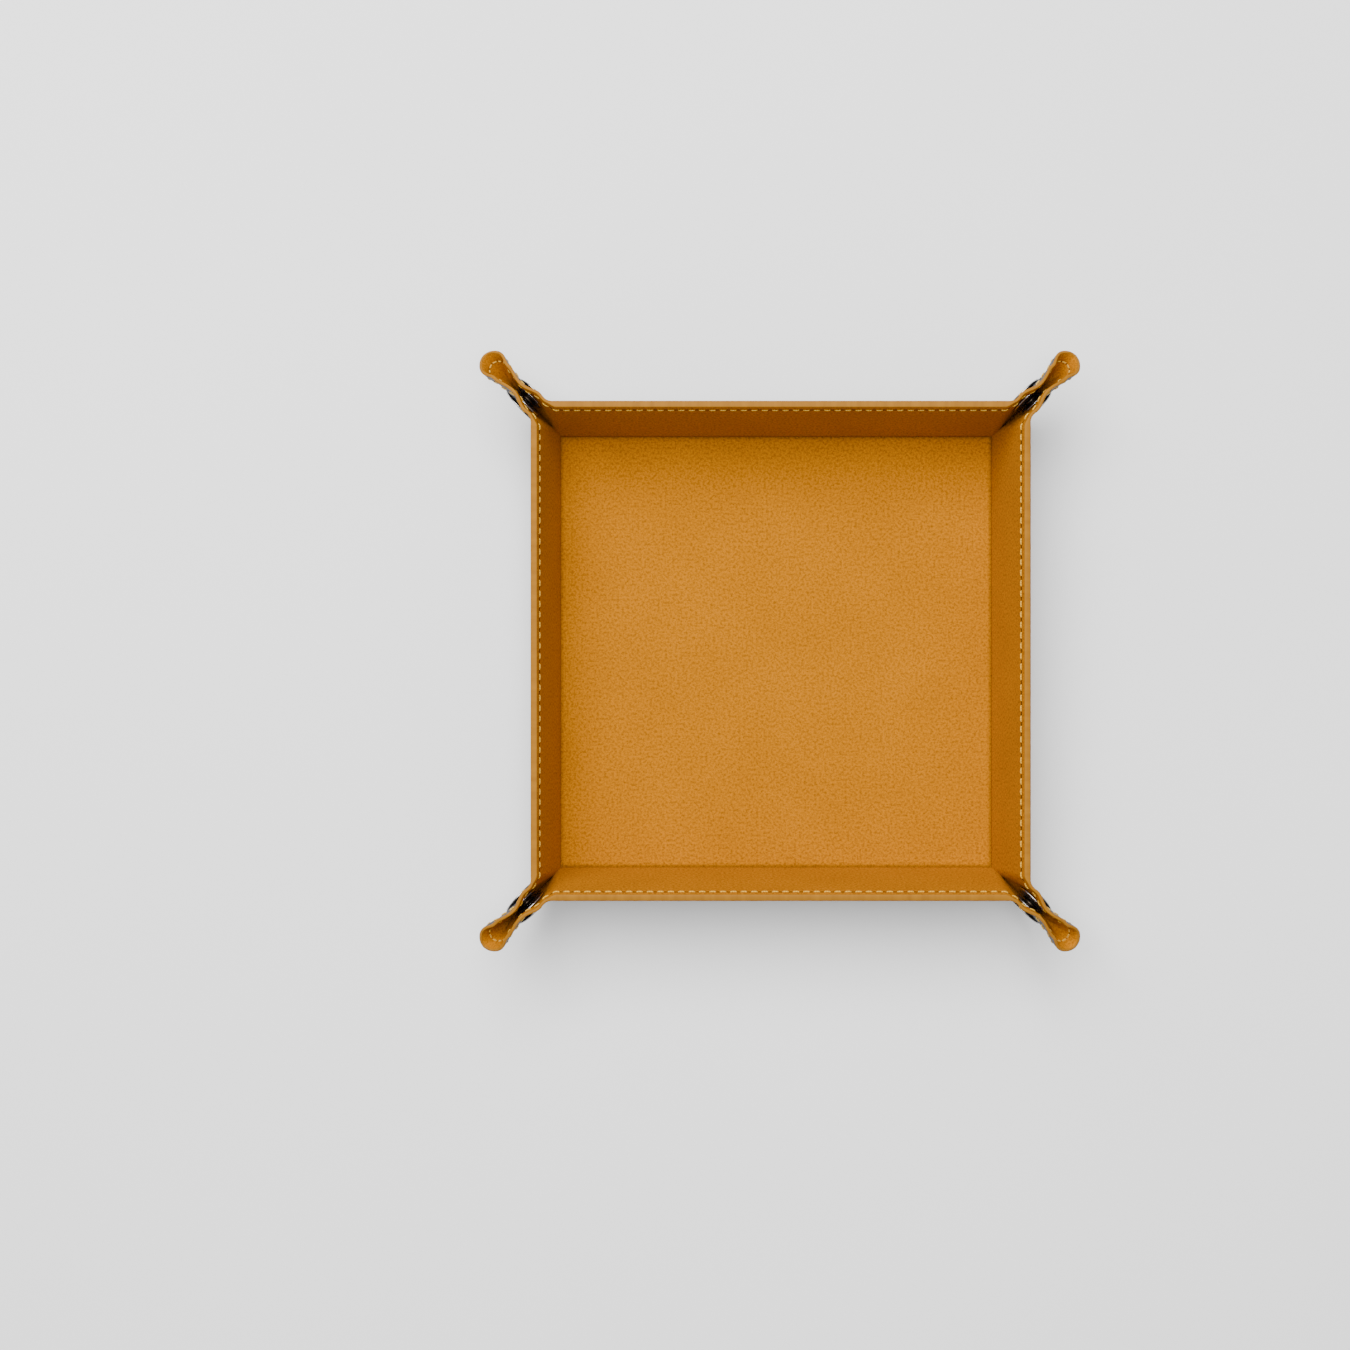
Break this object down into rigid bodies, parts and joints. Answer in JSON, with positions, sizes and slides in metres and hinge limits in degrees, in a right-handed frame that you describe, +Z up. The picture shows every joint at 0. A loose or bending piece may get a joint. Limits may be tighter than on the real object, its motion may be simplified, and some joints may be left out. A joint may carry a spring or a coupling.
{
  "type": "folding dice tray",
  "caption": "Square folding dice tray of leather-backed velvet on boards, its corners pinched into looped ears by press studs, unfolding flat.",
  "frame": {"origin": "centre of the underside of the tray's floor, on the surface that it stands on", "axes": "+Z up, +Y towards the back wall, +X towards the right wall"},
  "size_m": [0.1798, 0.1798, 0.0358],
  "materials": {
    "outer_leather": "fine-grain faux leather, satin",
    "board": "grey board core, matte",
    "velvet_lining": "short-pile velvet, ochre",
    "nickel_snap": "bright nickel plate",
    "spring_wire": "drawn wire"
  },
  "bodies": {
    "base": {"base_leather": "outer_leather", "base_board": "board", "base_lining": "velvet_lining"},
    "right_wall": {"right_wall_leather": "outer_leather", "right_wall_board": "board", "right_wall_lining": "velvet_lining"},
    "back_wall": {"back_wall_leather": "outer_leather", "back_wall_board": "board", "back_wall_lining": "velvet_lining"},
    "left_wall": {"left_wall_leather": "outer_leather", "left_wall_board": "board", "left_wall_lining": "velvet_lining"},
    "front_wall": {"front_wall_leather": "outer_leather", "front_wall_board": "board", "front_wall_lining": "velvet_lining"},
    "back_right_stud_gusset": {"back_right_stud_gusset_leather": "outer_leather", "back_right_stud_gusset_lining": "velvet_lining", "back_right_stud_cap": "nickel_snap", "back_right_stud": "nickel_snap"},
    "back_right_stud_ear_flap": {"back_right_stud_ear": "outer_leather"},
    "front_right_socket_gusset": {"front_right_socket_gusset_leather": "outer_leather", "front_right_socket_gusset_lining": "velvet_lining", "front_right_socket_cap": "nickel_snap", "front_right_socket": "nickel_snap", "front_right_socket_spring": "spring_wire"},
    "front_right_socket_ear_flap": {"front_right_socket_ear": "outer_leather"},
    "back_left_stud_gusset": {"back_left_stud_gusset_leather": "outer_leather", "back_left_stud_gusset_lining": "velvet_lining", "back_left_stud_cap": "nickel_snap", "back_left_stud": "nickel_snap"},
    "back_left_stud_ear_flap": {"back_left_stud_ear": "outer_leather"},
    "back_right_socket_gusset": {"back_right_socket_gusset_leather": "outer_leather", "back_right_socket_gusset_lining": "velvet_lining", "back_right_socket_cap": "nickel_snap", "back_right_socket": "nickel_snap", "back_right_socket_spring": "spring_wire"},
    "back_right_socket_ear_flap": {"back_right_socket_ear": "outer_leather"},
    "front_left_stud_gusset": {"front_left_stud_gusset_leather": "outer_leather", "front_left_stud_gusset_lining": "velvet_lining", "front_left_stud_cap": "nickel_snap", "front_left_stud": "nickel_snap"},
    "front_left_stud_ear_flap": {"front_left_stud_ear": "outer_leather"},
    "back_left_socket_gusset": {"back_left_socket_gusset_leather": "outer_leather", "back_left_socket_gusset_lining": "velvet_lining", "back_left_socket_cap": "nickel_snap", "back_left_socket": "nickel_snap", "back_left_socket_spring": "spring_wire"},
    "back_left_socket_ear_flap": {"back_left_socket_ear": "outer_leather"},
    "front_right_stud_gusset": {"front_right_stud_gusset_leather": "outer_leather", "front_right_stud_gusset_lining": "velvet_lining", "front_right_stud_cap": "nickel_snap", "front_right_stud": "nickel_snap"},
    "front_right_stud_ear_flap": {"front_right_stud_ear": "outer_leather"},
    "front_left_socket_gusset": {"front_left_socket_gusset_leather": "outer_leather", "front_left_socket_gusset_lining": "velvet_lining", "front_left_socket_cap": "nickel_snap", "front_left_socket": "nickel_snap", "front_left_socket_spring": "spring_wire"},
    "front_left_socket_ear_flap": {"front_left_socket_ear": "outer_leather"}
  },
  "joints": [
    {"name": "right_wall_fold", "type": "hinge", "parent": "base", "child": "right_wall", "pos_m": [0.0668, 0, 0.00025], "axis": [0, 1, 0], "range_deg": [0, 81]},
    {"name": "back_wall_fold", "type": "hinge", "parent": "base", "child": "back_wall", "pos_m": [0, 0.0668, 0.00025], "axis": [-1, 0, 0], "range_deg": [0, 81]},
    {"name": "left_wall_fold", "type": "hinge", "parent": "base", "child": "left_wall", "pos_m": [-0.0668, 0, 0.00025], "axis": [0, -1, 0], "range_deg": [0, 81]},
    {"name": "front_wall_fold", "type": "hinge", "parent": "base", "child": "front_wall", "pos_m": [0, -0.0668, 0.00025], "axis": [1, 0, 0], "range_deg": [0, 81]},
    {"name": "back_right_stud_gusset_fold", "type": "hinge", "parent": "right_wall", "child": "back_right_stud_gusset", "pos_m": [0.0668, 0.0668, 0.00025], "axis": [0.1564, 0, 0.9877], "range_deg": [0, 42.2]},
    {"name": "back_right_stud_ear_fold", "type": "hinge", "parent": "back_right_stud_gusset", "child": "back_right_stud_ear_flap", "pos_m": [0.0668, 0.0668, 0.00025], "axis": [-0.5631, -0.4998, -0.6581], "range_deg": [0, 80.16]},
    {"name": "front_right_socket_gusset_fold", "type": "hinge", "parent": "right_wall", "child": "front_right_socket_gusset", "pos_m": [0.0668, -0.0668, 0.00025], "axis": [-0.1564, 0, -0.9877], "range_deg": [0, 42.2]},
    {"name": "front_right_socket_ear_fold", "type": "hinge", "parent": "front_right_socket_gusset", "child": "front_right_socket_ear_flap", "pos_m": [0.0668, -0.0668, 0.00025], "axis": [0.5631, -0.4998, 0.6581], "range_deg": [0, 80.16]},
    {"name": "back_left_stud_gusset_fold", "type": "hinge", "parent": "back_wall", "child": "back_left_stud_gusset", "pos_m": [-0.0668, 0.0668, 0.00025], "axis": [0, 0.1564, 0.9877], "range_deg": [0, 42.2]},
    {"name": "back_left_stud_ear_fold", "type": "hinge", "parent": "back_left_stud_gusset", "child": "back_left_stud_ear_flap", "pos_m": [-0.0668, 0.0668, 0.00025], "axis": [0.4998, -0.5631, -0.6581], "range_deg": [0, 80.16]},
    {"name": "back_right_socket_gusset_fold", "type": "hinge", "parent": "back_wall", "child": "back_right_socket_gusset", "pos_m": [0.0668, 0.0668, 0.00025], "axis": [0, -0.1564, -0.9877], "range_deg": [0, 42.2]},
    {"name": "back_right_socket_ear_fold", "type": "hinge", "parent": "back_right_socket_gusset", "child": "back_right_socket_ear_flap", "pos_m": [0.0668, 0.0668, 0.00025], "axis": [0.4998, 0.5631, 0.6581], "range_deg": [0, 80.16]},
    {"name": "front_left_stud_gusset_fold", "type": "hinge", "parent": "left_wall", "child": "front_left_stud_gusset", "pos_m": [-0.0668, -0.0668, 0.00025], "axis": [-0.1564, 0, 0.9877], "range_deg": [0, 42.2]},
    {"name": "front_left_stud_ear_fold", "type": "hinge", "parent": "front_left_stud_gusset", "child": "front_left_stud_ear_flap", "pos_m": [-0.0668, -0.0668, 0.00025], "axis": [0.5631, 0.4998, -0.6581], "range_deg": [0, 80.16]},
    {"name": "back_left_socket_gusset_fold", "type": "hinge", "parent": "left_wall", "child": "back_left_socket_gusset", "pos_m": [-0.0668, 0.0668, 0.00025], "axis": [0.1564, 0, -0.9877], "range_deg": [0, 42.2]},
    {"name": "back_left_socket_ear_fold", "type": "hinge", "parent": "back_left_socket_gusset", "child": "back_left_socket_ear_flap", "pos_m": [-0.0668, 0.0668, 0.00025], "axis": [-0.5631, 0.4998, 0.6581], "range_deg": [0, 80.16]},
    {"name": "front_right_stud_gusset_fold", "type": "hinge", "parent": "front_wall", "child": "front_right_stud_gusset", "pos_m": [0.0668, -0.0668, 0.00025], "axis": [0, -0.1564, 0.9877], "range_deg": [0, 42.2]},
    {"name": "front_right_stud_ear_fold", "type": "hinge", "parent": "front_right_stud_gusset", "child": "front_right_stud_ear_flap", "pos_m": [0.0668, -0.0668, 0.00025], "axis": [-0.4998, 0.5631, -0.6581], "range_deg": [0, 80.16]},
    {"name": "front_left_socket_gusset_fold", "type": "hinge", "parent": "front_wall", "child": "front_left_socket_gusset", "pos_m": [-0.0668, -0.0668, 0.00025], "axis": [0, 0.1564, -0.9877], "range_deg": [0, 42.2]},
    {"name": "front_left_socket_ear_fold", "type": "hinge", "parent": "front_left_socket_gusset", "child": "front_left_socket_ear_flap", "pos_m": [-0.0668, -0.0668, 0.00025], "axis": [-0.4998, -0.5631, 0.6581], "range_deg": [0, 80.16]}
  ],
  "couplings": [
    {"joint": "right_wall_fold", "follows": "front_wall_fold", "ratio": 1},
    {"joint": "back_wall_fold", "follows": "front_wall_fold", "ratio": 1},
    {"joint": "left_wall_fold", "follows": "front_wall_fold", "ratio": 1},
    {"joint": "back_right_stud_gusset_fold", "follows": "front_wall_fold", "ratio": 0.52099},
    {"joint": "back_right_stud_ear_fold", "follows": "front_wall_fold", "ratio": 0.98963},
    {"joint": "front_right_socket_gusset_fold", "follows": "front_wall_fold", "ratio": 0.52099},
    {"joint": "front_right_socket_ear_fold", "follows": "front_wall_fold", "ratio": 0.98963},
    {"joint": "back_left_stud_gusset_fold", "follows": "front_wall_fold", "ratio": 0.52099},
    {"joint": "back_left_stud_ear_fold", "follows": "front_wall_fold", "ratio": 0.98963},
    {"joint": "back_right_socket_gusset_fold", "follows": "front_wall_fold", "ratio": 0.52099},
    {"joint": "back_right_socket_ear_fold", "follows": "front_wall_fold", "ratio": 0.98963},
    {"joint": "front_left_stud_gusset_fold", "follows": "front_wall_fold", "ratio": 0.52099},
    {"joint": "front_left_stud_ear_fold", "follows": "front_wall_fold", "ratio": 0.98963},
    {"joint": "back_left_socket_gusset_fold", "follows": "front_wall_fold", "ratio": 0.52099},
    {"joint": "back_left_socket_ear_fold", "follows": "front_wall_fold", "ratio": 0.98963},
    {"joint": "front_right_stud_gusset_fold", "follows": "front_wall_fold", "ratio": 0.52099},
    {"joint": "front_right_stud_ear_fold", "follows": "front_wall_fold", "ratio": 0.98963},
    {"joint": "front_left_socket_gusset_fold", "follows": "front_wall_fold", "ratio": 0.52099},
    {"joint": "front_left_socket_ear_fold", "follows": "front_wall_fold", "ratio": 0.98963}
  ]
}
